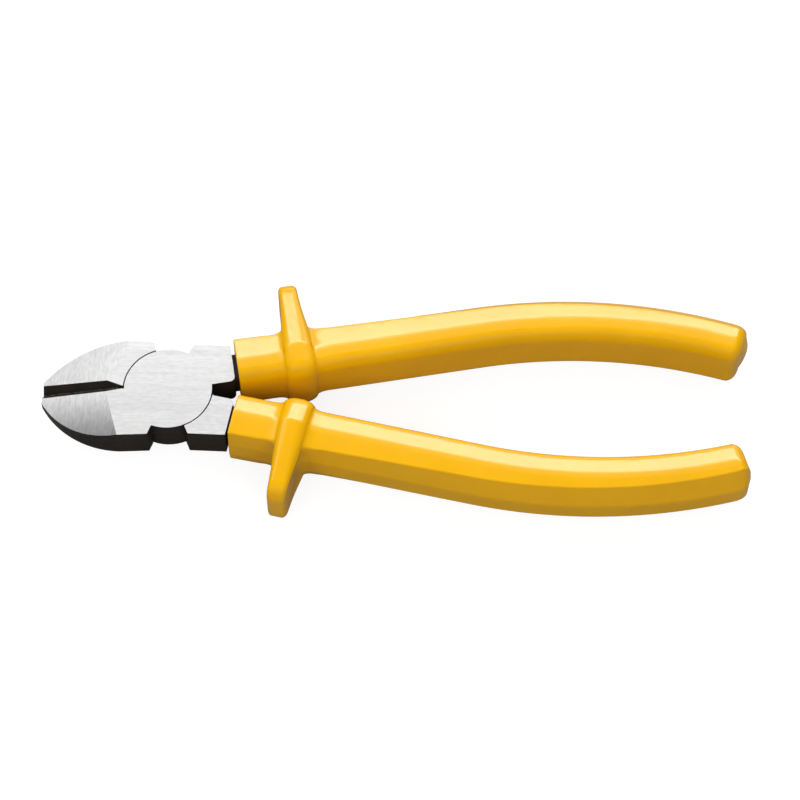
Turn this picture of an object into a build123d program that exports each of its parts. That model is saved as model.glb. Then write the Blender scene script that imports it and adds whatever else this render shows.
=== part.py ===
from build123d import *
from math import cos, radians, sin, tan
import os

os.makedirs("parts", exist_ok=True)

# Frame: the origin is on the joint axis, on the ground rear face of the head.
# +X runs from the jaws towards the handles, +Z out of the ground front face.
# The closed tool is the same either side of the XZ plane, apart from the two laps and a small
# lean of the jaws.

# Overall sizes
overall_length = 160.0
jaw_reach = 28.9
head_thickness = 8.4
middle = head_thickness / 2
handle_reach = overall_length - jaw_reach

# Lap joint
joint_diameter = 19.8
joint_radius = joint_diameter / 2
socket_clearance = 0.15
socket_radius = joint_radius + socket_clearance
lap_clearance = 0.06

# Joint rivet: a plain shank with a countersunk head at each end, ground flush
rivet_diameter = 6.4
rivet_head_diameter = 8.6
rivet_head_depth = 1.4
rivet_clearance = 0.05

# Jaws
cutting_gap = 0.04
jaw_shoulder_x = 10.8
jaw_half_width = 12.0
jaw_corner_radius = 12.25
jaw_flank_angle = 109.0
nose_half_width = 2.6
jaw_lean = 3.0
closing_drop = 0.5
heel_length = 1.8
heel_relief = 0.4

# Ground slope of each jaw's front face, and the bevels on either side of its cutting edge
slope_start = 14.4
slope_angle = 21.3
slope_turn = 19.7
edge_start_depth = 0.35
edge_slope = 21.0
front_bevel_angle = 39.0
rear_bevel_angle = 28.0

# Lugs behind the joint, where the tangs leave the head
lug_flank_angle = 65.5
lug_corner_radius = 12.3
lug_half_width = 11.3
lug_inner_edge = 2.4
lug_end = 14.2
lug_end_lean = 10.0
lug_corner_round = 1.2

# Centre line of a handle: a straight run over a share of its reach, then one long arc back inwards
rim_x = 15.1
rim_y = 6.9
handle_lean = 11.2
straight_run_share = 0.474
end_angle = 16.3

# Grip section: a low roof on the front and rear faces, a crisp outer crease, rounded inner corners.
# Towards the end the outer side leans in from its widest part, and it swells a little in between.
# The front inner corner is softer than the rear one, and the outer side leans in further rearwards.
grip_half_thickness = 7.1
grip_inner_half_width = 5.45
grip_outer_half_width = 5.45
grip_end_outer_half_width = 4.35
grip_outer_swell = 0.5
crease_offset = 5.1
crease_end_offset = 2.1
front_side_height = 3.6
front_side_end_height = 4.2
rear_side_height = 1.2
roof_angle = 10.0
front_inner_round = 3.4
rear_inner_round = 2.0
outer_corner_round = 1.6
grip_end_round = 2.6
grip_stations = 9

# Finger-guard collar
collar_distance = 14.0
collar_ridge_height = 9.3
collar_ridge_round = 0.6
collar_inner_half_width = 6.9
collar_inner_round = 3.0
collar_inner_height = 8.6
collar_reach = 17.9
collar_tip_half_height = 6.5
collar_tip_round = 3.0
collar_tip_half_length = 2.1
collar_root_half_length = 2.7
collar_edge_round = 0.8
collar_root_round = 1.4
root_steps = 4
root_sink = 0.15

# Tang inside each grip, along a share of the handle's centre line
tang_thickness = 6.0
tang_root_width = 7.0
tang_end_width = 4.6
tang_end_thickness = 4.4
tang_round = 0.8
tang_root = 5.0
tang_share = 0.82
tang_stations = 6

middle_axis = Axis((0, 0, middle), (1, 0, 0))


def turned(radius, angle):
    """Point at a distance and angle from the joint axis, in the plane of the head."""
    return (radius * cos(radians(angle)), radius * sin(radians(angle)))


# The end of the centre line stands back from the handle's reach by what the rounded end adds
end_lean = (grip_end_outer_half_width - grip_end_round) * sin(radians(end_angle))
end_x = handle_reach - grip_end_round * (1 - cos(radians(end_angle))) - end_lean
straight_run = straight_run_share * (end_x - rim_x) / cos(radians(handle_lean))
bend_x = rim_x + straight_run * cos(radians(handle_lean))
bend_y = rim_y + straight_run * sin(radians(handle_lean))
bend_radius = (end_x - bend_x) / (sin(radians(handle_lean)) + sin(radians(end_angle)))

with BuildLine(Plane.XY.offset(middle)) as handle_line:
    run = Line((rim_x, rim_y), (bend_x, bend_y))
    JernArc(start=run @ 1, tangent=run % 1, radius=bend_radius, arc_size=-handle_lean - end_angle)
handle_wire = handle_line.wire()
handle_length = handle_wire.length
tang_length = tang_share * handle_length


def across(distance):
    """Plane square to the handle's centre line. Its X points outwards and its Y points forwards."""
    tangent = handle_wire.tangent_at(distance, position_mode=PositionMode.LENGTH)
    origin = handle_wire.position_at(distance, position_mode=PositionMode.LENGTH)
    return Plane(origin=origin, x_dir=(-tangent.Y, tangent.X, 0), z_dir=tangent)


def between(start, end, share):
    """Value that runs evenly from start to end."""
    return start + (end - start) * share


def grip_outline(share, growth=0):
    """Outline of the grip's section at a share of its length, in the plane of the open sketch.

    Growth moves every side outwards by that much.
    """
    ridge = grip_half_thickness + growth
    crease = between(crease_offset, crease_end_offset, share) + growth
    swell = grip_outer_swell * sin(radians(180 * share))
    outer = between(grip_outer_half_width, grip_end_outer_half_width, share) + swell + growth
    side = between(front_side_height, front_side_end_height, share)
    inner = grip_inner_half_width + growth
    fall = tan(radians(roof_angle))
    with BuildLine() as sides:
        Polyline(
            (-inner, ridge - inner * fall),
            (0, ridge),
            (crease, ridge - crease * fall),
            (outer, side),
            (outer, -rear_side_height),
            (crease, crease * fall - ridge),
            (0, -ridge),
            (-inner, inner * fall - ridge),
            close=True,
        )
    make_face(sides.edges())
    corners = vertices().group_by(Axis.X)
    inner_corners = corners[0].sort_by(Axis.Y)
    fillet(inner_corners[0], rear_inner_round)
    fillet(inner_corners[-1], front_inner_round)
    fillet(corners[-1], outer_corner_round)


def before_lean(x, y):
    """Place where a point of the finished jaws is drawn, before they are turned and lowered."""
    point = Vector(x, y + closing_drop).rotate(Axis.Z, jaw_lean)
    return (point.X, point.Y)


def jaw(side):
    """One jaw, on side 1 the upper and on side -1 the lower one.

    It is drawn with its closing plane along the X axis. It is then turned by the lean about the
    joint axis and lowered, because the jaws close a little aslant and beside that axis.
    """
    corner = before_lean(*turned(jaw_corner_radius, side * jaw_flank_angle))
    shoulder = before_lean(-jaw_shoulder_x, side * jaw_half_width)
    nose = (-jaw_reach, side * nose_half_width)
    closing = side * cutting_gap / 2
    relief = side * heel_relief
    heel_x = -socket_radius - heel_length
    with BuildPart() as blank:
        with BuildSketch():
            with BuildLine():
                Polyline(corner, (0, relief), (-socket_radius, relief), (heel_x, closing))
                Polyline((heel_x, closing), (-jaw_reach, closing), nose)
                TangentArc(shoulder, nose, tangent=turned(1, 180 + jaw_lean))
                Line(shoulder, corner)
            make_face()
        extrude(amount=head_thickness)
        slope_normal = Vector(0, 0, 1).rotate(Axis.Y, -slope_angle).rotate(Axis.Z, -side * slope_turn)
        split(bisect_by=Plane(origin=(-slope_start, 0, head_thickness), z_dir=slope_normal), keep=Keep.BOTTOM)
        edge_origin = (-socket_radius, closing, head_thickness - edge_start_depth)
        for bevel_angle in (front_bevel_angle, -rear_bevel_angle):
            towards_other = Vector(0, -side, 0).rotate(Axis.X, -side * bevel_angle)
            bevel_plane = Plane(origin=edge_origin, z_dir=towards_other.rotate(Axis.Y, -edge_slope))
            split(bisect_by=bevel_plane, keep=Keep.BOTTOM)
    return blank.part.rotate(Axis.Z, -jaw_lean).translate((0, -closing_drop, 0))


lower_jaw = jaw(-1)
upper_jaw = jaw(1)

# Tang of the upper handle
with BuildPart() as tang:
    for step in range(tang_stations + 1):
        share = step / tang_stations
        plane = across(tang_length * share) if step else across(0).offset(-tang_root)
        with BuildSketch(plane):
            width = between(tang_root_width, tang_end_width, share)
            thickness = between(tang_thickness, tang_end_thickness, share)
            RectangleRounded(width, thickness, tang_round)
    loft()

# Disc, lug and tang of the front lever, before the rear lap is cut away
with BuildPart() as front_blank:
    with BuildSketch():
        Circle(joint_radius)
        with BuildLine():
            corner = turned(lug_corner_radius, lug_flank_angle)
            lean = (lug_half_width - rim_y) * tan(radians(lug_end_lean))
            inner_x = lug_end + (rim_y - lug_inner_edge) * tan(radians(lug_end_lean))
            Polyline(
                (0, lug_inner_edge - inner_x * tan(radians(handle_lean))),
                corner,
                (lug_end - lean, lug_half_width),
                (inner_x, lug_inner_edge),
                close=True,
            )
        make_face()
        fillet(vertices().sort_by(Axis.X)[-1], lug_corner_round)
    extrude(amount=head_thickness)
    add(tang.part)

# Joint rivet, with both heads ground flush
with BuildPart() as joint_rivet:
    with BuildSketch():
        Circle(rivet_diameter / 2)
    extrude(amount=head_thickness)
    for face_height, rise in ((0, 1), (head_thickness, -1)):
        with BuildSketch(Plane.XY.offset(face_height)):
            Circle(rivet_head_diameter / 2)
        with BuildSketch(Plane.XY.offset(face_height + rise * rivet_head_depth)):
            Circle(rivet_diameter / 2)
        loft()

with BuildPart() as front_lever:
    add(front_blank.part)
    add(lower_jaw)
    with BuildSketch():
        Circle(socket_radius)
    extrude(amount=middle + lap_clearance / 2, mode=Mode.SUBTRACT)
    add(joint_rivet.part, mode=Mode.SUBTRACT)

with BuildPart() as rear_lever:
    add(front_blank.part.rotate(middle_axis, 180))
    add(upper_jaw)
    with BuildSketch(Plane.XY.offset(head_thickness)):
        Circle(socket_radius)
    extrude(amount=-middle - lap_clearance / 2, mode=Mode.SUBTRACT)
    with BuildSketch():
        Circle(rivet_diameter / 2 + rivet_clearance)
    extrude(amount=head_thickness, mode=Mode.SUBTRACT)
    with BuildSketch():
        Circle(rivet_head_diameter / 2 + rivet_clearance)
    with BuildSketch(Plane.XY.offset(rivet_head_depth + rivet_clearance)):
        Circle(rivet_diameter / 2 + rivet_clearance)
    loft(mode=Mode.SUBTRACT)

# Finger guard: a full collar whose outer side runs out into a tapered wing
with BuildPart() as collar:
    with BuildSketch(across(collar_distance)):
        inner_centre = collar_inner_round - collar_inner_half_width
        for side in (1, -1):
            tip_height = side * (collar_tip_half_height - collar_tip_round)
            with Locations((collar_reach - collar_tip_round, tip_height)):
                Circle(collar_tip_round)
            with Locations((inner_centre, side * (collar_inner_height - collar_inner_round))):
                Circle(collar_inner_round)
            with Locations((0, side * (collar_ridge_height - collar_ridge_round))):
                Circle(collar_ridge_round)
        make_hull()
    extrude(amount=2 * collar_root_half_length, both=True)
    collar_centre = across(collar_distance)
    with BuildSketch(Plane(origin=collar_centre.origin, x_dir=collar_centre.x_dir, z_dir=(0, 0, 1))):
        with BuildLine():
            Polyline(
                (-collar_inner_half_width, collar_root_half_length),
                (collar_reach, collar_tip_half_length),
                (collar_reach, -collar_tip_half_length),
                (-collar_inner_half_width, -collar_root_half_length),
                close=True,
            )
        make_face()
    extrude(amount=2 * collar_ridge_height, both=True, mode=Mode.INTERSECT)
    fillet(collar.edges(), collar_edge_round)

# Hollow curve that joins the handle to each face of the collar, in short conical steps
with BuildPart() as collar_root:
    for side in (1, -1):
        for step in range(root_steps + 1):
            turn = radians(90 * step / root_steps)
            stand_off = collar_root_half_length + collar_root_round * (1 - sin(turn))
            growth = collar_root_round * (1 - cos(turn)) - root_sink * (step == 0)
            distance = collar_distance + side * stand_off
            with BuildSketch(across(distance)):
                grip_outline(distance / handle_length, growth)
        loft(ruled=True)

# Moulded grip: the handle form with its collar, and the cavity that the tang fills
with BuildPart() as upper_grip:
    for step in range(grip_stations):
        share = step / (grip_stations - 1)
        with BuildSketch(across(handle_length * share)):
            grip_outline(share)
    loft()
    fillet(upper_grip.faces().sort_by(Axis.X)[-1].edges(), grip_end_round)
    add(collar_root.part)
    add(collar.part)
    add(tang.part, mode=Mode.SUBTRACT)

with BuildPart() as lower_grip:
    add(upper_grip.part.rotate(middle_axis, 180))

joint_rivet.part.label = "joint_rivet"
front_lever.part.label = "front_lever"
rear_lever.part.label = "rear_lever"
upper_grip.part.label = "upper_grip"
lower_grip.part.label = "lower_grip"
for piece in (joint_rivet, front_lever, rear_lever, upper_grip, lower_grip):
    print(piece.part.label, piece.part.volume, len(piece.part.solids()), piece.part.is_valid)
export_step(joint_rivet.part, "parts/joint_rivet.step")
export_step(front_lever.part, "parts/front_lever.step")
export_step(rear_lever.part, "parts/rear_lever.step")
export_step(upper_grip.part, "parts/upper_grip.step")
export_step(lower_grip.part, "parts/lower_grip.step")
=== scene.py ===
# %% [markdown]
# # Side cutters: from the solid model to the finished look
#
# A pair of side cutters is two forged levers that cross at one rivet. The levers are ground
# bright on their flat faces and blackened on their sides, and each handle sits in a glossy
# yellow moulded grip with a finger guard. The solid model holds the exact shapes and the
# joint, so this lesson starts from it and adds what makes the tool look real: softly blended
# grips, ground steel, black oxide, a photographer's table and the light over it.

# %% Load the solid model
import math

import bpy
import numpy as np
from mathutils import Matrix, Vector


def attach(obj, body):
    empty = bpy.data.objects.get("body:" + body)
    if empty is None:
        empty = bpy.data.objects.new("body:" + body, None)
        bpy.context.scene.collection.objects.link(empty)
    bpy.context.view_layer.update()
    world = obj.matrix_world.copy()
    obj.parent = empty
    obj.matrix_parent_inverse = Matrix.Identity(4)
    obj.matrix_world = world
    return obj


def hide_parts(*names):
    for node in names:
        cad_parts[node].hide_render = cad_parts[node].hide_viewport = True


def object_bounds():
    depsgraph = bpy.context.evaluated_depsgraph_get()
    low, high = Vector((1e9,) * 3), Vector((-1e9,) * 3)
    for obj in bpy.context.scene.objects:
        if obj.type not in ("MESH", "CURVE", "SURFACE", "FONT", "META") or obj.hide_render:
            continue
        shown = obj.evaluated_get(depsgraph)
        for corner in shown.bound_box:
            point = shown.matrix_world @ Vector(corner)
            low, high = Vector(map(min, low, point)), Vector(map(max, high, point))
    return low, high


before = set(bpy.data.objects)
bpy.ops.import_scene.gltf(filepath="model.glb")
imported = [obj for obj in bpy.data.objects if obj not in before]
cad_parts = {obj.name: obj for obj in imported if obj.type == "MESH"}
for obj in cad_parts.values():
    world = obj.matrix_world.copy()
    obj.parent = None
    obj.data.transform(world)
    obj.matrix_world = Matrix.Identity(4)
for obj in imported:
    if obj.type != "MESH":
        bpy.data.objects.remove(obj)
cad_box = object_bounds()
MM = 0.001
print("solid model, lowest and highest corner in metres:", cad_box)

# %% [markdown]
# ## The camera
#
# The tool lies flat and is seen from above at a steep slant, a little turned. A long lens
# from some distance keeps both handles nearly parallel, as in a catalogue picture. The
# camera is placed by two angles, a distance and the point that it looks at, because these
# are the numbers a photographer would set. The lights are placed the same way later on.

# %% Place the camera
# Angles are in degrees, the lens and the sensor in millimetres
camera_azimuth = 178.28
camera_elevation = 62.3
camera_distance = 660 * MM
camera_lens = 132.5
camera_sensor = 36.0
looked_at = Vector((0.0522, -0.0014, 0.0084))
scene = bpy.context.scene


def stand(piece, azimuth, elevation, distance):
    """Places a camera or a light round the tool, facing it. The angles are in degrees.

    Azimuth 0 is behind the tool, 90 to its right, 180 in front of it.
    """
    turn, rise = math.radians(azimuth), math.radians(elevation)
    level = math.cos(rise)
    direction = Vector((math.sin(turn) * level, math.cos(turn) * level, math.sin(rise)))
    piece.location = looked_at + direction * distance
    piece.rotation_euler = direction.to_track_quat("Z", "Y").to_euler()
    scene.collection.objects.link(piece)


camera_data = bpy.data.cameras.new("camera")
camera_data.lens = camera_lens
camera_data.sensor_width = camera_sensor
camera = bpy.data.objects.new("camera", camera_data)
stand(camera, camera_azimuth, camera_elevation, camera_distance)
scene.camera = camera
print("camera stands at", [round(value, 4) for value in camera.location])

# %% [markdown]
# ## Surfaces from formulas
#
# Every new piece here is a grid of points: one direction runs round a section and the
# other along the piece. Working out all points at once keeps the shapes exact and makes
# it easy to change a radius. A closed tube of rings with a single point at each end has
# no holes, so it can be exported as a clean solid.

# %% A helper that turns rings of points into a closed mesh


def closed_tube(name, rings):
    """Mesh piece from rings of points, shape (rings, points, 3), closed by a fan at both ends.

    Each face joins a point, its neighbour on the ring and the two points of the next ring.
    """
    count, around = rings.shape[:2]
    poles = np.array([rings[0].mean(axis=0), rings[-1].mean(axis=0)])
    points = np.concatenate([rings.reshape(-1, 3), poles])
    first_pole, last_pole = len(points) - 2, len(points) - 1
    ring, step = np.meshgrid(np.arange(count - 1), np.arange(around), indexing="ij")
    here = ring * around + step
    beside = ring * around + (step + 1) % around
    quads = np.stack([here, beside, beside + around, here + around], axis=-1).reshape(-1, 4)
    step = np.arange(around)
    following = (step + 1) % around
    last = (count - 1) * around
    first_fan = np.stack([np.full(around, first_pole), following, step], axis=-1)
    last_fan = np.stack([np.full(around, last_pole), last + step, last + following], axis=-1)
    faces = quads.tolist() + first_fan.tolist() + last_fan.tolist()
    mesh = bpy.data.meshes.new(name)
    mesh.from_pydata(points.tolist(), [], faces)
    mesh.update()
    mesh.shade_smooth()
    piece = bpy.data.objects.new(name, mesh)
    scene.collection.objects.link(piece)
    print(name, "has", len(points), "points and", len(faces), "faces")
    return piece


# %% [markdown]
# ## The centre line of a handle
#
# Each handle leaves the head on a straight line and then bends back in one long arc, so
# that the palm meets a bow. The same line carries the section of the grip, the finger
# guard and the rounded end.

# %% Describe the centre line
overall_length = 160 * MM
jaw_reach = 28.9 * MM
middle_height = 4.2 * MM
rim_x = 15.1 * MM
rim_y = 6.9 * MM
handle_lean = math.radians(11.2)
end_angle = math.radians(16.3)
straight_run_share = 0.474
end_outer_half_width = 4.35 * MM
end_round = 2.6 * MM

end_lean = (end_outer_half_width - end_round) * math.sin(end_angle)
end_x = overall_length - jaw_reach - end_round * (1 - math.cos(end_angle)) - end_lean
straight_run = straight_run_share * (end_x - rim_x) / math.cos(handle_lean)
bend_start_x = rim_x + straight_run * math.cos(handle_lean)
bend_radius = (end_x - bend_start_x) / (math.sin(handle_lean) + math.sin(end_angle))
handle_length = straight_run + bend_radius * (handle_lean + end_angle)


def heading_at(distance):
    """Angle of the centre line to the X axis: constant on the straight, then falling evenly."""
    return handle_lean - np.maximum(distance - straight_run, 0) / bend_radius


def line_at(distance):
    """Points of the centre line: a straight run, then an arc that turns back towards the axis.

    On the arc x grows by radius * (sin start - sin heading), and y grows by
    radius * (cos heading - cos start).
    """
    straight = np.clip(distance, None, straight_run)
    heading = heading_at(distance)
    x_on_arc = bend_radius * (math.sin(handle_lean) - np.sin(heading))
    y_on_arc = bend_radius * (np.cos(heading) - math.cos(handle_lean))
    x = rim_x + straight * math.cos(handle_lean) + x_on_arc
    y = rim_y + straight * math.sin(handle_lean) + y_on_arc
    return x, y


def placed(distance, outward, forward):
    """Points given by a distance along the centre line and two offsets square to it.

    Outward is the normal of the centre line away from the other handle, forward is +Z.
    """
    heading = heading_at(distance)
    line_x, line_y = line_at(distance)
    x = line_x - outward * np.sin(heading)
    y = line_y + outward * np.cos(heading)
    return np.stack([x, y, middle_height + forward], axis=-1)


print("handle length along its centre line:", round(handle_length / MM, 1), "mm")

# %% [markdown]
# ## The section of the grip
#
# The moulding is neither round nor square. Its front and rear are shallow roofs with a
# softened ridge, the front one broad and nearer the inner side. Its outer side meets them
# in crisp creases, and its inner corners are rounded. A polygon whose corners are rounded
# by different radii says all of that. It changes slowly along the handle, and each ring
# keeps the same number of points on every corner and flat, so that the creases run on as
# unbroken lines.

# %% Round the corners of a section polygon
# A pair holds the value at the head and the value at the far end
half_thickness = 7.1 * MM
inner_half_width = 5.45 * MM
outer_half_width = (5.45 * MM, end_outer_half_width)
outer_swell = 0.5 * MM
crease_offset = (5.1 * MM, 2.1 * MM)
front_side_height = (3.6 * MM, 4.2 * MM)
rear_side_height = 1.2 * MM
roof_angle = math.radians(10)
front_ridge_shift = 1.3 * MM
front_ridge_round = 8.5 * MM
rear_ridge_round = 5.0 * MM
crease_round = 0.45 * MM
front_inner_round = 3.0 * MM
rear_inner_round = 2.0 * MM
front_outer_round = 1.6 * MM
rear_outer_round = 4.0 * MM
least_round = 0.2 * MM
least_round_growth = 0.3
arc_points = 9
flat_points = 5


def between(ends, share):
    """Value that runs evenly from the first end to the second."""
    return ends[0] + (ends[1] - ends[0]) * share


def section_corners(share):
    """Corners of the section at an array of shares of the length, shape (shares, 8, 2).

    They go round from the outer side over the front to the inner side and back over the rear.
    """
    share = np.asarray(share, dtype=float)
    fall = math.tan(roof_angle)
    ridge = np.full_like(share, half_thickness)
    crease = between(crease_offset, share)
    outer = between(outer_half_width, share) + outer_swell * np.sin(np.pi * share)
    inner = np.full_like(share, inner_half_width)
    shift = np.full_like(share, front_ridge_shift)
    corners = [
        (outer, between(front_side_height, share)),
        (crease, ridge - crease * fall),
        (-shift, ridge + shift * fall),
        (-inner, ridge + (2 * shift - inner) * fall),
        (-inner, inner * fall - ridge),
        (0 * share, -ridge),
        (crease, crease * fall - ridge),
        (outer, np.full_like(share, -rear_side_height)),
    ]
    return np.stack([np.stack(corner, axis=-1) for corner in corners], axis=-2)


corner_rounds = np.array([
    front_outer_round, crease_round, front_ridge_round, front_inner_round,
    rear_inner_round, rear_ridge_round, crease_round, rear_outer_round,
])


def rounded_section(corners, rounds, inset=0.0):
    """Outlines of polygons with rounded corners, moved in by an inset: (sections, points, 2).

    At each corner the arc's centre lies on the corner's bisector at radius / sin(half angle). The
    arc runs between the two points where it touches the sides, and even steps fill each side.
    The radii shrink by the inset, down to a least radius that grows a little with the inset.
    """
    before = np.roll(corners, 1, axis=1) - corners
    after = np.roll(corners, -1, axis=1) - corners
    before /= np.linalg.norm(before, axis=-1, keepdims=True)
    after /= np.linalg.norm(after, axis=-1, keepdims=True)
    half = np.arccos(np.clip((before * after).sum(axis=-1), -1, 1)) / 2
    bisector = before + after
    bisector /= np.linalg.norm(bisector, axis=-1, keepdims=True)
    corners = corners + bisector * (inset / np.sin(half))[..., None]
    rounds = np.maximum(rounds - inset, least_round + least_round_growth * inset)
    centre = corners + bisector * (rounds / np.sin(half))[..., None]
    start = corners + before * (rounds / np.tan(half))[..., None] - centre
    end = corners + after * (rounds / np.tan(half))[..., None] - centre
    sweep = (np.pi - 2 * half)[..., None, None]
    share = np.linspace(0, 1, arc_points)[:, None]
    from_start = np.sin((1 - share) * sweep) * start[..., None, :]
    from_end = np.sin(share * sweep) * end[..., None, :]
    arcs = (from_start + from_end) / np.sin(sweep) + centre[..., None, :]
    share = (np.arange(flat_points) + 1)[:, None] / (flat_points + 1)
    next_start = np.roll(arcs[:, :, 0], -1, axis=1)[..., None, :]
    flats = arcs[:, :, -1][..., None, :] * (1 - share) + next_start * share
    return np.concatenate([arcs, flats], axis=2).reshape(len(corners), -1, 2)


print("points round the grip:", len(corner_rounds) * (arc_points + flat_points))

# %% [markdown]
# ## The finger guard
#
# The guard is a collar that runs right round the grip and grows into a wing on the outer
# side, where it stops a finger from sliding onto the head. Its outline is the tight wrap
# round a few circles. A direction's furthest point on such a wrap is the furthest point of
# one of the circles, so the whole outline comes from asking every direction in turn.

# %% Wrap the guard's outline round its circles
# Each circle is given by its place outwards, its place forwards and its radius
collar_distance = 14.0 * MM
collar_reach = 17.9 * MM
collar_circles = MM * np.array([
    (14.9, 3.5, 3.0),
    (0.0, 8.69, 0.6),
    (-3.9, 5.6, 3.0),
    (-3.9, -5.6, 3.0),
    (0.0, -8.69, 0.6),
    (14.9, -3.5, 3.0),
])
wrap_points = 4000


def wrapped(circles, directions):
    """Outline round circles, with its normals: in each direction the furthest circle's edge."""
    normal = np.stack([np.cos(directions), np.sin(directions)], axis=-1)
    reach = normal @ circles[:, :2].T + circles[:, 2]
    furthest = circles[reach.argmax(axis=1)]
    return furthest[:, :2] + normal * furthest[:, 2:], normal


def even_share(outline):
    """Quarters of the way round, counted by length from one key point to the next.

    The key points are the outermost, the front ridge, the innermost and the rear ridge. The
    outline starts at the outermost, and the innermost is half the whole length further on.
    """
    closed = np.concatenate([outline, outline[:1]])
    length = np.concatenate([[0], np.linalg.norm(np.diff(closed, axis=0), axis=1).cumsum()])
    front = length[outline[:, 1].argmax()]
    rear = length[outline[:, 1].argmin()]
    keys = [0, front, length[-1] / 2, rear, length[-1]]
    return np.interp(length, keys, np.arange(5))[:-1]


def at_handle_points(values):
    """Values of the wrap's points, read off where the handle's points come on the way round."""
    columns = [np.interp(handle_share, wrap_share, column, period=4) for column in values.T]
    return np.stack(columns, axis=-1)


# Both outlines start at the outermost point, so the handle's points are turned to begin there
guarded_corners = section_corners([collar_distance / handle_length])
handle_section = rounded_section(guarded_corners, corner_rounds)[0]
section_turn = -np.abs(np.arctan2(handle_section[:, 1], handle_section[:, 0])).argmin()
handle_outline = np.roll(handle_section, section_turn, axis=0)
wrap_directions = np.linspace(0, 2 * np.pi, wrap_points, endpoint=False)
wrap_outline, wrap_normal = wrapped(collar_circles, wrap_directions)
handle_share = even_share(handle_outline)
wrap_share = even_share(wrap_outline)
crest = at_handle_points(wrap_outline)
crest_normal = at_handle_points(wrap_normal)
crest_normal /= np.linalg.norm(crest_normal, axis=1, keepdims=True)
print("guard reaches", round(float(crest[:, 0].max()) / MM, 1), "mm out from the centre line")

# %% [markdown]
# ## One skin for grip and guard
#
# The grip is a list of rings from the rim at the head to the rounded end. Where the guard
# stands, the rings first climb a hollow curve out of the handle, then the flank, then a
# small round onto the crest, and go down the same way on the other side. The curves
# shrink where the guard hardly stands proud, so that nothing folds over, and the flank
# slopes there, so that the low part of the collar swells softly out of the handle.

# %% Build the rings of the grip
# A pair holds the value on the guard's inner side and the value at its tip
root_round = 2.4 * MM
root_round_share = 0.35
root_run_share = 1.2
crest_round = 1.2 * MM
crest_round_share = 0.62
crest_runs = (2.1 * MM, 1.0 * MM)
crest_ring_shares = (0.9, 0.5, 0.1)
low_slope = 1.8 * MM
slope_ends = 5.0 * MM
collar_half_lengths = (2.7 * MM, 2.1 * MM)
collar_inner_half_width = 6.9 * MM
collar_clearance = 7.44 * MM
first_ring_gap = 0.2 * MM
edge_places = 20
curve_steps = 7
rim_round = 0.3 * MM
rim_steps = 4
rim_scales = (0.15, 0.32, 0.49, 0.66, 0.83, 1.0)
sleeve_start = 0.6 * MM
sleeve_rings = 12
palm_rings = 90
end_steps = 12
end_shift = 0.8 * MM
end_dome = 0.9 * MM
dome_scales = (0.93, 0.75, 0.5, 0.25, 0.08)


def outline_normals(outline):
    """Outward unit normals of a closed outline, square to the chord between the neighbours."""
    chord = np.roll(outline, -1, axis=0) - np.roll(outline, 1, axis=0)
    chord /= np.linalg.norm(chord, axis=1, keepdims=True)
    return np.stack([chord[:, 1], -chord[:, 0]], axis=-1)


def gap_between(outline, other):
    """For each point of an outline, the distance to the nearest place on another one's edges."""
    share = np.linspace(0, 1, edge_places)[:, None, None]
    places = (other * (1 - share) + np.roll(other, -1, axis=0) * share).reshape(-1, 2)
    return np.linalg.norm(outline[:, None] - places[None], axis=2).min(axis=1)


def along_guard(ends, outward):
    """Value at each outward place, changing evenly from the guard's inner side to its tip."""
    share = (outward + collar_inner_half_width) / (collar_reach + collar_inner_half_width)
    return between(ends, np.clip(share, 0, 1))


def quarter_turn(steps):
    """Angles from 0 to a quarter turn in even steps."""
    return np.linspace(0, np.pi / 2, steps)


def collar_flank():
    """Rings of one side of the guard, from the handle to the crest, as (stand-off, outline) pairs.

    The hollow curve is a quarter ellipse: it grows by round * (1 - cos t) while its stand-off is
    half length + run * (1 - sin t). The flank joins it to the crest's round, which is a quarter
    ellipse the other way. Where the guard stands low, its side slopes: the stand-off gains
    slope * (1 - grown), with grown as the share of the height that the ring has climbed.
    """
    normal = outline_normals(handle_outline)
    clear = gap_between(handle_outline, crest)
    height = gap_between(crest, handle_outline)
    hollow = np.minimum(root_round, root_round_share * clear)
    run_out = np.minimum(root_round, root_run_share * clear)
    round_over = np.minimum(crest_round, crest_round_share * height)
    run_over = along_guard(crest_runs, crest[:, 0])
    slope = low_slope * np.clip(1 - clear / slope_ends, 0, 1)
    foot_grown, top_grown = hollow / clear, 1 - round_over / height

    def ring(outline, grown, further):
        half_length = along_guard(collar_half_lengths, outline[:, 0])
        return half_length + slope * (1 - grown) + further, outline

    rings = [ring(handle_outline, 0, run_out + first_ring_gap)]
    for turn in quarter_turn(curve_steps):
        share = 1 - np.cos(turn)
        foot = handle_outline + normal * (hollow * share)[:, None]
        rings.append(ring(foot, foot_grown * share, run_out * (1 - np.sin(turn))))
    top = crest - crest_normal * round_over[:, None]
    for share in np.linspace(0, 1, curve_steps)[1:-1]:
        rings.append(ring(between((foot, top), share), between((foot_grown, top_grown), share), 0))
    for turn in quarter_turn(curve_steps):
        share = np.sin(turn)
        outline = crest - crest_normal * (round_over * (1 - share))[:, None]
        grown = between((top_grown, 1), share)
        rings.append(ring(outline, grown, -run_over * (1 - np.cos(turn))))
    edge = rings[-1][0]
    rings.extend((share * edge, crest) for share in crest_ring_shares)
    return rings


def handle_rings(distances):
    """Rings of the plain handle at an array of distances along the centre line."""
    sections = rounded_section(section_corners(distances / handle_length), corner_rounds)
    sections = np.roll(sections, section_turn, axis=1)
    return placed(distances[:, None], sections[..., 0], sections[..., 1])


def drawn_in(distance, share, inset, scale=1.0, shift=0.0):
    """Ring at a distance: its sides move in by an inset, then it is scaled and moved outwards."""
    outline = rounded_section(section_corners([share]), corner_rounds, inset)[0]
    outline = np.roll(outline, section_turn, axis=0) * scale
    return placed(np.full(len(outline), distance), outline[:, 0] + shift, outline[:, 1])


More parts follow.
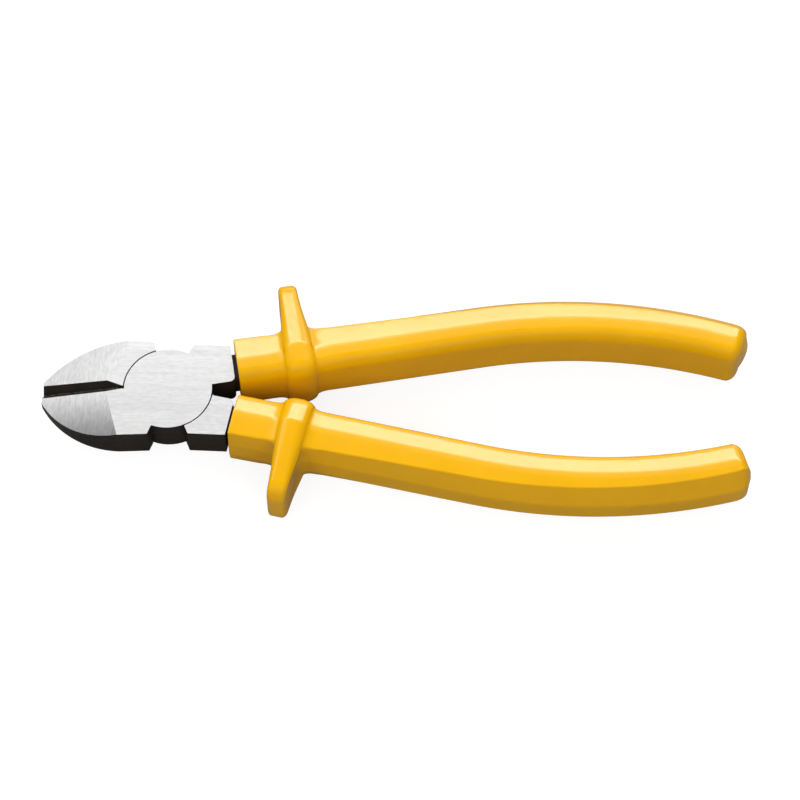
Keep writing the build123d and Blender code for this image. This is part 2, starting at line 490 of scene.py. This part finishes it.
def grip_rings():
    """All rings of a grip: rim face, sleeve, guard, palm handle, rounded end.

    The end is rounded more on its inner side, as its rings shift outwards while they shrink, and
    its face is a low dome that falls away from its top by dome * scale squared.
    """
    rings = [drawn_in(0, 0, rim_round, scale) for scale in rim_scales]
    for turn in quarter_turn(rim_steps)[1:]:
        inset = rim_round * (1 - np.sin(turn))
        rings.append(drawn_in(rim_round * (1 - np.cos(turn)), 0, inset))
    guard_start = collar_distance - collar_clearance
    rings.extend(handle_rings(np.linspace(sleeve_start, guard_start, sleeve_rings)))
    flank = collar_flank()
    for stand_off, outline in flank:
        rings.append(placed(collar_distance - stand_off, outline[:, 0], outline[:, 1]))
    for stand_off, outline in reversed(flank):
        rings.append(placed(collar_distance + stand_off, outline[:, 0], outline[:, 1]))
    guard_end = collar_distance + collar_clearance
    end_start = handle_length - end_round - end_dome
    rings.extend(handle_rings(np.linspace(guard_end, end_start, palm_rings)))
    for turn in quarter_turn(end_steps)[1:]:
        inward = 1 - np.cos(turn)
        distance = end_start + end_round * np.sin(turn)
        rings.append(drawn_in(distance, 1, end_round * inward, shift=end_shift * inward))
    for scale in dome_scales:
        distance = handle_length - end_dome * scale ** 2
        rings.append(drawn_in(distance, 1, end_round, scale, end_shift))
    return np.stack(rings)


def grip(node, rings, body):
    """Finished grip: its mesh, attached to the body that it rides on, with the solid that it
    stands for hidden.
    """
    piece = closed_tube(node + "_skin", rings)
    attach(piece, body)
    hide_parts(node)
    return piece


# The lower grip is the upper one turned half a turn about the X axis at the middle height
upper_rings = grip_rings()
turn_centre = (0, 0, middle_height)
half_turn = (1, -1, -1)
lower_rings = (upper_rings - turn_centre) * half_turn + turn_centre
upper_grip = grip("upper_grip", upper_rings, "front_half")
lower_grip = grip("lower_grip", lower_rings, "rear_half")

# %% [markdown]
# ## Effects that several finishes share
#
# Grinding leaves fine parallel lines, and every real surface is a little uneven in tone.
# Both are patterns of noise: one is stretched hard along a single direction, the other has
# broad soft clouds and small specks. Each is a small node group with its own inputs, so
# that every material can use the same effect at its own scale.

# %% Build the shared effects
coarse_lines = 0.23
coarse_weight = 0.6
patch_lines = 0.07


def new_group(name, vectors, numbers, outputs):
    """Empty node group with vector and number inputs and number outputs, and its end nodes."""
    group = bpy.data.node_groups.new(name, "ShaderNodeTree")
    for label in vectors:
        group.interface.new_socket(label, in_out="INPUT", socket_type="NodeSocketVector")
    for label in numbers:
        group.interface.new_socket(label, in_out="INPUT", socket_type="NodeSocketFloat")
    for label in outputs:
        group.interface.new_socket(label, in_out="OUTPUT", socket_type="NodeSocketFloat")
    inside = group.nodes.new("NodeGroupInput").outputs
    outside = group.nodes.new("NodeGroupOutput").inputs
    return group, inside, outside


def wire(tree, source, target):
    """Joins two sockets, or sets a plain value on the target socket."""
    if isinstance(source, bpy.types.NodeSocket):
        tree.links.new(source, target)
    else:
        target.default_value = source


def math_node(tree, operation, first, second=0.0):
    """Output of a Math node. The second value counts only where the operation takes two."""
    node = tree.nodes.new("ShaderNodeMath")
    node.operation = operation
    wire(tree, first, node.inputs[0])
    wire(tree, second, node.inputs[1])
    return node.outputs[0]


def product(tree, *factors):
    """Product of two or more values."""
    total = factors[0]
    for factor in factors[1:]:
        total = math_node(tree, "MULTIPLY", total, factor)
    return total


def ranged(tree, value, low, high):
    """Value mapped smoothly from 0 at one limit to 1 at the other."""
    node = tree.nodes.new("ShaderNodeMapRange")
    node.interpolation_type = "SMOOTHSTEP"
    for socket, number in zip(node.inputs[:3], (value, low, high)):
        wire(tree, number, socket)
    return node.outputs["Result"]


def noise(tree, vector, scale, detail=3.0, roughness=0.55):
    """Noise value at a scale, in features per metre."""
    node = tree.nodes.new("ShaderNodeTexNoise")
    wire(tree, vector, node.inputs["Vector"])
    wire(tree, scale, node.inputs["Scale"])
    node.inputs["Detail"].default_value = detail
    node.inputs["Roughness"].default_value = roughness
    return node.outputs["Fac"]


def stretched(tree, vector, factors):
    """Vector multiplied by a factor on each axis, which stretches a pattern where it is small."""
    node = tree.nodes.new("ShaderNodeVectorMath")
    node.operation = "MULTIPLY"
    wire(tree, vector, node.inputs[0])
    wire(tree, factors, node.inputs[1])
    return node.outputs[0]


def build_grinding_group():
    """Parallel lines of uneven depth, from two stretched noises, and broader patches of tone."""
    group, inside, outside = new_group(
        "grinding_lines", ("Vector", "Stretch"), ("Lines",), ("Height", "Patches")
    )
    lines = inside["Lines"]
    vector = stretched(group, inside["Vector"], inside["Stretch"])
    fine = noise(group, vector, lines, detail=4.0, roughness=0.65)
    coarse = noise(group, vector, product(group, lines, coarse_lines), detail=2.0)
    height = math_node(group, "ADD", fine, product(group, coarse, coarse_weight))
    patches = noise(group, vector, product(group, lines, patch_lines))
    wire(group, height, outside["Height"])
    wire(group, ranged(group, patches, 0.35, 0.7), outside["Patches"])
    return group


def build_unevenness_group():
    """Broad soft clouds and small specks, each from noise at its own scale."""
    group, inside, outside = new_group(
        "unevenness", ("Vector",), ("Clouds", "Specks"), ("Clouds", "Specks")
    )
    clouds = noise(group, inside["Vector"], inside["Clouds"])
    specks = noise(group, inside["Vector"], inside["Specks"], detail=2.0)
    wire(group, ranged(group, clouds, 0.3, 0.7), outside["Clouds"])
    wire(group, ranged(group, specks, 0.3, 0.75), outside["Specks"])
    return group


grinding_lines = build_grinding_group()
unevenness = build_unevenness_group()
print("shared effects:", grinding_lines.name, "and", unevenness.name)

# %% [markdown]
# ## Bright faces, black sides
#
# After forging, the levers are blackened all over and then ground flat on both faces, so
# the way a surface points decides its finish: what faces forwards or backwards is bright
# steel, and what faces sideways is black. The object normal says how a surface points,
# and it turns with the lever when the jaws open. The sloped nose is ground across the
# jaw, the flat head along the tool, so the lines run differently on the two, and short
# grey streaks between them keep the ground faces from looking like sheet metal.

# %% Make the steel of the levers
ground_facing = (0.84, 0.88)
flat_facing = (0.965, 0.985)
tang_start = 10 * MM
tang_half_thickness = 4.1 * MM
socket_rim = (10.22 * MM, 10.14 * MM)
jaw_lean = math.radians(3)
closing_drop = 0.5 * MM
edge_wear = (0.22 * MM, 0.08 * MM)
jaw_heel = -10.5 * MM
slope_crown = 5.0
lines_along = {"Stretch": (0.05, 1.0, 1.0), "Lines": 3600.0}
lines_across = {"Stretch": (1.0, 0.05, 0.05), "Lines": 3200.0}
streaks_along = (0.3, 1.0, 1.0)
streaks_across = (1.0, 0.3, 0.3)
streak_scale = 2000.0


def new_material(name):
    """Material with its node tree, and the inputs of its Principled shader."""
    material = bpy.data.materials.new(name)
    material.use_nodes = True
    tree = material.node_tree
    return material, tree, tree.nodes["Principled BSDF"].inputs


def object_coordinates(tree):
    """Place and normal of the shaded point in the piece's own frame."""
    outputs = tree.nodes.new("ShaderNodeTexCoord").outputs
    return outputs["Object"], outputs["Normal"]


def split(tree, vector):
    """The parts of a vector, as outputs named X, Y and Z."""
    node = tree.nodes.new("ShaderNodeSeparateXYZ")
    wire(tree, vector, node.inputs[0])
    return node.outputs


def group_node(tree, group, **values):
    """Outputs of a placed node group whose inputs are set by name."""
    node = tree.nodes.new("ShaderNodeGroup")
    node.node_tree = group
    for label, value in values.items():
        wire(tree, value, node.inputs[label])
    return node.outputs


def mixed_color(tree, share, first, second):
    """Colour between two colours, each a colour socket or four numbers."""
    node = tree.nodes.new("ShaderNodeMix")
    node.data_type = "RGBA"
    wire(tree, share, node.inputs["Factor"])
    wire(tree, first, node.inputs[6])
    wire(tree, second, node.inputs[7])
    return node.outputs[2]


def mixed_value(tree, share, first, second):
    """Value between two values."""
    node = tree.nodes.new("ShaderNodeMix")
    wire(tree, share, node.inputs["Factor"])
    wire(tree, first, node.inputs[2])
    wire(tree, second, node.inputs[3])
    return node.outputs[0]


def gray(value, warmth=0.0):
    """Colour of equal parts, with a little more red and less blue for warmth."""
    return (value * (1 + warmth), value, value * (1 - warmth), 1.0)


def bump(tree, height, strength, distance, normal=None):
    """Normal tilted by a height pattern whose depth is given in metres."""
    node = tree.nodes.new("ShaderNodeBump")
    node.inputs["Strength"].default_value = strength
    node.inputs["Distance"].default_value = distance
    wire(tree, height, node.inputs["Height"])
    if normal is not None:
        wire(tree, normal, node.inputs["Normal"])
    return node.outputs["Normal"]


def left_black(tree, place, spot, socket_side):
    """1 where a surface that faces forwards or backwards is black all the same, else 0.

    That is the tang, which is thinner than the head, and the socket of the lap with a thin
    ring round it, on the side of the middle height that the socket is on.
    """
    behind = math_node(tree, "GREATER_THAN", spot["X"], tang_start)
    above_middle = math_node(tree, "SUBTRACT", spot["Z"], middle_height)
    from_middle = math_node(tree, "ABSOLUTE", above_middle)
    sunk = math_node(tree, "LESS_THAN", from_middle, tang_half_thickness)
    from_axis = tree.nodes.new("ShaderNodeVectorMath")
    from_axis.operation = "LENGTH"
    wire(tree, stretched(tree, place, (1.0, 1.0, 0.0)), from_axis.inputs[0])
    in_socket = ranged(tree, from_axis.outputs["Value"], *socket_rim)
    lap_side = math_node(tree, "GREATER_THAN", product(tree, above_middle, socket_side), 0.0)
    tang, socket = product(tree, behind, sunk), product(tree, in_socket, lap_side)
    return math_node(tree, "MAXIMUM", tang, socket)


def worn_edge(tree, spot, specks):
    """1 along the cutting edges, where wear has bared the steel in specks, else 0.

    The distance to the line where the jaws meet is |x sin lean + (y + drop) cos lean|.
    """
    along = product(tree, spot["X"], math.sin(jaw_lean))
    across = product(tree, math_node(tree, "ADD", spot["Y"], closing_drop), math.cos(jaw_lean))
    from_line = math_node(tree, "ABSOLUTE", math_node(tree, "ADD", along, across))
    on_jaws = math_node(tree, "LESS_THAN", spot["X"], jaw_heel)
    return product(tree, ranged(tree, from_line, *edge_wear), specks, on_jaws)


def ground_color(tree, place, flat, lines, patches):
    """Bright steel with patches of tone, lighter lines and short grey streaks."""
    across = noise(tree, stretched(tree, place, streaks_across), streak_scale)
    along = noise(tree, stretched(tree, place, streaks_along), streak_scale)
    streaks = ranged(tree, mixed_value(tree, flat, across, along), 0.38, 0.68)
    color = mixed_color(tree, patches, gray(0.545, 0.004), gray(0.585))
    color = mixed_color(tree, ranged(tree, lines, 0.55, 1.1), color, gray(0.635))
    streak_share = product(tree, streaks, mixed_value(tree, flat, 0.5, 0.3))
    return mixed_color(tree, streak_share, color, gray(0.42))


def lever_steel(name, socket_side):
    """Ground steel where the surface faces forwards or backwards, black oxide elsewhere.

    The socket side is 1 where the socket lies in front of the middle height, -1 where it lies
    behind, and 0 for a piece without a socket.
    The lower jaw's slope is shaded as if crowned, by a height of -crown * y squared. Only the
    shading has this crown, not the mesh: it leans the normal by up to 7 degrees at the edge.
    """
    material, tree, shader = new_material(name)
    place, normal = object_coordinates(tree)
    spot = split(tree, place)
    facing = math_node(tree, "ABSOLUTE", split(tree, normal)["Z"])
    flat = ranged(tree, facing, *flat_facing)
    sloping = math_node(tree, "SUBTRACT", 1.0, flat)
    bared = math_node(tree, "SUBTRACT", 1.0, left_black(tree, place, spot, socket_side))
    ground = product(tree, ranged(tree, facing, *ground_facing), bared)

    along = group_node(tree, grinding_lines, Vector=place, **lines_along)
    across = group_node(tree, grinding_lines, Vector=place, **lines_across)
    lines = mixed_value(tree, flat, across["Height"], along["Height"])
    patches = mixed_value(tree, flat, across["Patches"], along["Patches"])
    tone = group_node(tree, unevenness, Vector=place, Clouds=160.0, Specks=2400.0)

    bright = ground_color(tree, place, flat, lines, patches)
    black = mixed_color(tree, tone["Clouds"], gray(0.008, 0.35), gray(0.013, 0.35))
    black = mixed_color(tree, worn_edge(tree, spot, tone["Specks"]), black, gray(0.16, 0.02))
    wire(tree, mixed_color(tree, ground, black, bright), shader["Base Color"])
    bright_rough = mixed_value(tree, patches, 0.34, 0.30)
    black_rough = mixed_value(tree, tone["Specks"], 0.42, 0.58)
    wire(tree, mixed_value(tree, ground, black_rough, bright_rough), shader["Roughness"])
    wire(tree, ground, shader["Metallic"])
    shader["Specular IOR Level"].default_value = 0.25

    below_axis = math_node(tree, "MINIMUM", spot["Y"], 0.0)
    crown = product(tree, below_axis, below_axis, -slope_crown, sloping)
    crowned = bump(tree, crown, 1.0, 1.0)
    depth = mixed_value(tree, ground, tone["Specks"], lines)
    wire(tree, bump(tree, depth, 0.35, 0.02 * MM, crowned), shader["Normal"])
    return material


steel_pieces = []
for node, finish, socket_side in (
    ("front_lever", "front_lever_steel", -1.0),
    ("rear_lever", "rear_lever_steel", 1.0),
    ("joint_rivet", "rivet_steel", 0.0),
):
    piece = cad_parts[node]
    piece.data.materials.clear()
    piece.data.materials.append(lever_steel(finish, socket_side))
    steel_pieces.append(piece)
    print("dressed", node, "in", finish)

# %% [markdown]
# ## Glossy yellow plastic
#
# The grips are moulded in one warm yellow with a smooth, slightly orange-peeled gloss. A
# Principled shader already gives the clear reflection of a plastic, and a low bump and a
# little unevenness in tone and gloss keep it from looking like paint on glass.

# %% Make the plastic of the grips
yellows = ((0.65, 0.332, 0.001, 1), (0.69, 0.355, 0.001, 1))


def grip_plastic():
    """Warm yellow plastic with faint clouds of tone, uneven gloss and a fine ripple."""
    material, tree, shader = new_material("yellow_moulded_plastic")
    place, _ = object_coordinates(tree)
    tone = group_node(tree, unevenness, Vector=place, Clouds=70.0, Specks=900.0)
    wire(tree, mixed_color(tree, tone["Clouds"], *yellows), shader["Base Color"])
    wire(tree, mixed_value(tree, tone["Specks"], 0.16, 0.22), shader["Roughness"])
    shader["Specular IOR Level"].default_value = 0.38
    wave = bump(tree, tone["Clouds"], 1.0, 0.05 * MM)
    wire(tree, bump(tree, tone["Specks"], 0.12, 0.03 * MM, wave), shader["Normal"])
    return material


grip_finish = grip_plastic()
for piece in (upper_grip, lower_grip):
    piece.data.materials.append(grip_finish)
print("dressed the grips in", grip_finish.name)

# %% [markdown]
# ## Table and light
#
# A catalogue picture stands on white. The table itself is a mid grey, so that it casts
# little light back on the tool, and a glow that only the camera sees lifts it to white.
# A long strip light behind the tool draws the pale bands on the sloping sides of the
# grips, and a dimmer panel just above it, for the grips alone, lets them fade. A wide
# panel higher up is what the ground steel mirrors, and a small one at the left is what
# the lower jaw's slope mirrors. Soft lights from the front fill the shadows, and the
# room is dimmer in mirrored rays, which keeps the black steel black. Two more panels
# are only mirrored: a low one by far edges, and one in front by steel seen from behind.

# %% Lay the table and hang the lights
table_size = 6.0
table_gray = 0.22
table_glow = 0.85
light_distance = 0.8
room_light = 0.3
room_mirrored = 0.06


def table(height):
    """Square grey table with a glow for the camera alone, so that it shows as white."""
    reach = table_size / 2
    sides = ((-reach, -reach), (reach, -reach), (reach, reach), (-reach, reach))
    mesh = bpy.data.meshes.new("table")
    mesh.from_pydata([(x, y, height) for x, y in sides], [], [(0, 1, 2, 3)])
    piece = bpy.data.objects.new("table", mesh)
    scene.collection.objects.link(piece)
    material, tree, shader = new_material("white_table")
    shader["Base Color"].default_value = gray(table_gray)
    shader["Roughness"].default_value = 0.9
    shader["Specular IOR Level"].default_value = 0.0
    path = tree.nodes.new("ShaderNodeLightPath").outputs
    glow = tree.nodes.new("ShaderNodeEmission")
    wire(tree, product(tree, path["Is Camera Ray"], table_glow), glow.inputs["Strength"])
    total = tree.nodes.new("ShaderNodeAddShader")
    wire(tree, tree.nodes["Principled BSDF"].outputs[0], total.inputs[0])
    wire(tree, glow.outputs[0], total.inputs[1])
    wire(tree, total.outputs[0], tree.nodes["Material Output"].inputs["Surface"])
    mesh.materials.append(material)


def panel(name, azimuth, elevation, size, radiance):
    """Rectangular light that faces the tool, with its width and height in metres.

    Its power is radiance * pi * area, so that its brightness stays as its size changes.
    """
    light = bpy.data.lights.new(name, "AREA")
    light.shape = "RECTANGLE"
    light.size, light.size_y = size
    light.energy = radiance * math.pi * size[0] * size[1]
    piece = bpy.data.objects.new(name, light)
    stand(piece, azimuth, elevation, light_distance)
    return piece


def light_only(light, pieces):
    """Lets a light reach a few pieces alone."""
    reached = bpy.data.collections.new("reached_by_" + light.name)
    for piece in pieces:
        reached.objects.link(piece)
    light.light_linking.receiver_collection = reached


def white_room(strength, mirrored):
    """World that is white to the camera, with one strength as light and one in mirrored rays."""
    world = bpy.data.worlds.new("white_room")
    scene.world = world
    world.use_nodes = True
    tree = world.node_tree
    path = tree.nodes.new("ShaderNodeLightPath").outputs
    background = tree.nodes["Background"].inputs
    background["Color"].default_value = gray(1.0)
    unseen = mixed_value(tree, path["Is Glossy Ray"], strength, mirrored)
    wire(tree, mixed_value(tree, path["Is Camera Ray"], unseen, 1.0), background["Strength"])


scene.view_settings.view_transform = "Standard"
table(cad_box[0][2])
panel("strip_light", 0, 43, (1.16, 0.14), 11.5)
panel("upper_panel", 0, 70, (1.3, 0.36), 0.86)
panel("side_panel", 299, 39, (0.34, 0.4), 1.95)
fading_panel = panel("fading_panel", 0, 52, (1.16, 0.12), 2.4)
front_left = panel("front_left_light", 215, 42, (0.6, 0.6), 2.4)
front_right = panel("front_right_light", 145, 42, (0.6, 0.6), 2.2)
front_panel = panel("front_panel", 180, 66, (1.3, 0.36), 1.5)
low_panel = panel("low_panel", 14, 17, (0.7, 0.24), 2.5)
for light in (front_left, front_right):
    light.visible_glossy = False
for light in (front_panel, low_panel):
    light.visible_diffuse = False
light_only(fading_panel, (upper_grip, lower_grip))
light_only(front_panel, steel_pieces)
white_room(room_light, room_mirrored)
